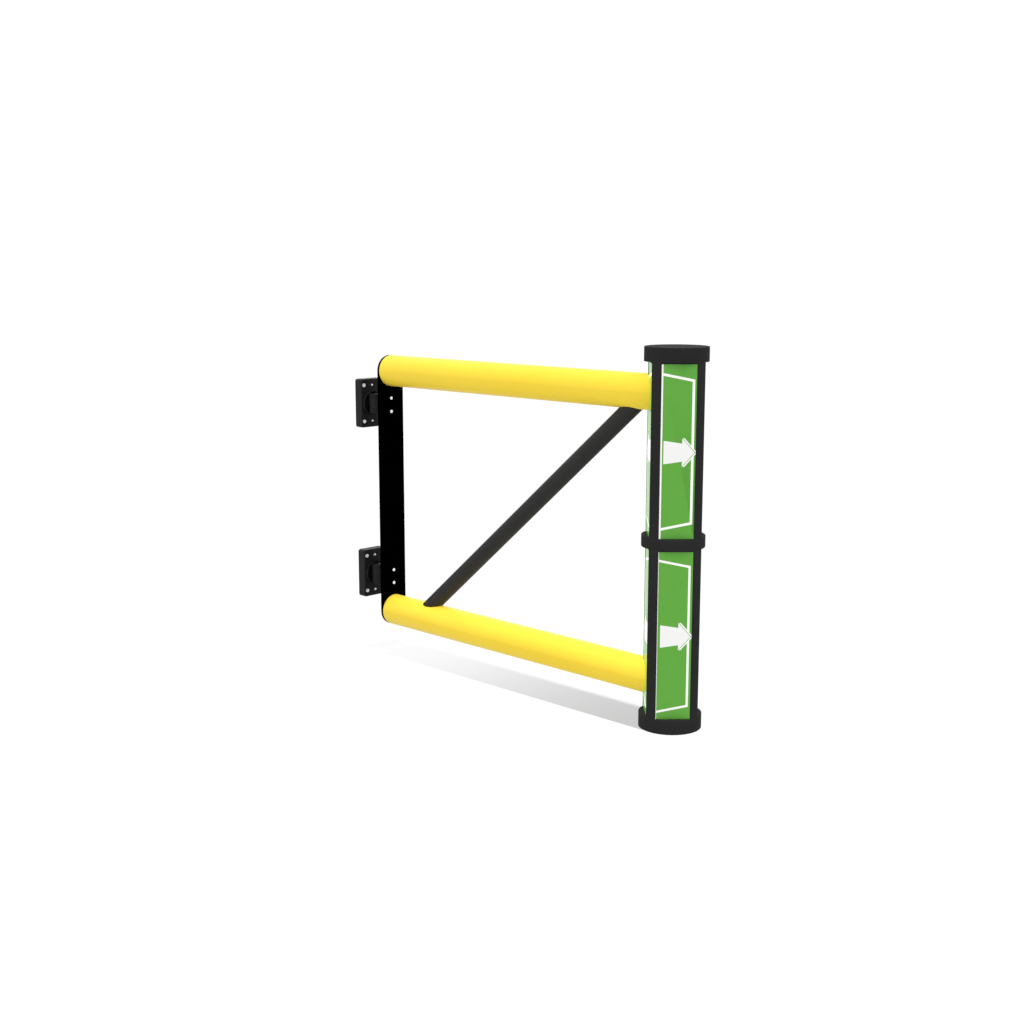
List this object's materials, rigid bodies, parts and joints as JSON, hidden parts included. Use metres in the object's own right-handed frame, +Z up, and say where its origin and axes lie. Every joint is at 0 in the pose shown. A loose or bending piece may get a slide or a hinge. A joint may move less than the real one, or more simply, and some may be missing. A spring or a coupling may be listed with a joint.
{
  "type": "safety barrier swing gate",
  "caption": "Pedestrian swing gate for an industrial safety barrier: round yellow rails, a diagonal brace, hinge brackets and a black closing column with green sign panels.",
  "frame": {"origin": "middle of the lower bracket's back face, the flat face that is bolted to a post or wall", "axes": "+X along the closed gate from the hinges to the column, +Z up, +Y to the side away from the viewer's usual side"},
  "size_m": [1.532, 0.192, 1.1565],
  "materials": {
    "bracket_plastic": "moulded, satin",
    "yoke_plastic": "moulded, satin",
    "pin_steel": "turned",
    "plug_plastic": "moulded, satin",
    "stile_black": "black powder coat",
    "rail_yellow": "smooth polymer tube",
    "brace_grey": "satin polymer tube",
    "column_black": "moulded, satin",
    "sign_green": "glossy sheet"
  },
  "bodies": {
    "hinge_side": {"lower_bracket": "bracket_plastic", "upper_bracket": "bracket_plastic", "lower_pin": "pin_steel", "upper_pin": "pin_steel"},
    "gate": {"lower_yoke": "yoke_plastic", "upper_yoke": "yoke_plastic", "stile": "stile_black", "lower_plug": "plug_plastic", "upper_plug": "plug_plastic", "lower_rail": "rail_yellow", "upper_rail": "rail_yellow", "brace": "brace_grey", "column_base": "column_black", "lower_post": "column_black", "middle_ring": "column_black", "upper_post": "column_black", "column_cap": "column_black", "lower_sign_front_outer": "sign_green", "lower_sign_front_inner": "sign_green", "lower_sign_back_outer": "sign_green", "lower_sign_back_inner": "sign_green", "upper_sign_front_outer": "sign_green", "upper_sign_front_inner": "sign_green", "upper_sign_back_outer": "sign_green", "upper_sign_back_inner": "sign_green"}
  },
  "joints": [
    {"name": "gate_swing", "type": "hinge", "parent": "hinge_side", "child": "gate", "pos_m": [0.06, 0, 0], "axis": [0, 0, 1], "range_deg": [-90, 90]}
  ]
}
